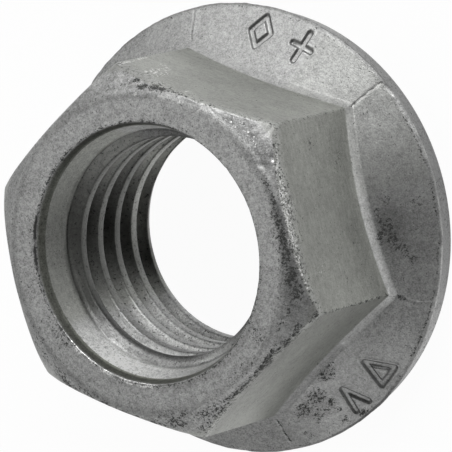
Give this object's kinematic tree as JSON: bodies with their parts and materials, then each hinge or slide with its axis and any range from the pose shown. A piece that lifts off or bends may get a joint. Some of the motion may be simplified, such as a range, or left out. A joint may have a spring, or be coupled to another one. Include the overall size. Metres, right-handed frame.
{
  "type": "threaded nut",
  "caption": "Hexagon nut with a conical flange, a through thread and a tapered mouth, standing on its bearing face.",
  "frame": {"origin": "centre of the bearing face, on the thread's axis", "axes": "+Z along the thread's axis, from the bearing face to the hexagon's top face; +X towards the middle of a flat"},
  "size_m": [0.0444, 0.0444, 0.0211],
  "materials": {
    "zinc_flake_steel": "matte"
  },
  "bodies": {
    "root": {"nut": "zinc_flake_steel"}
  },
  "joints": []
}
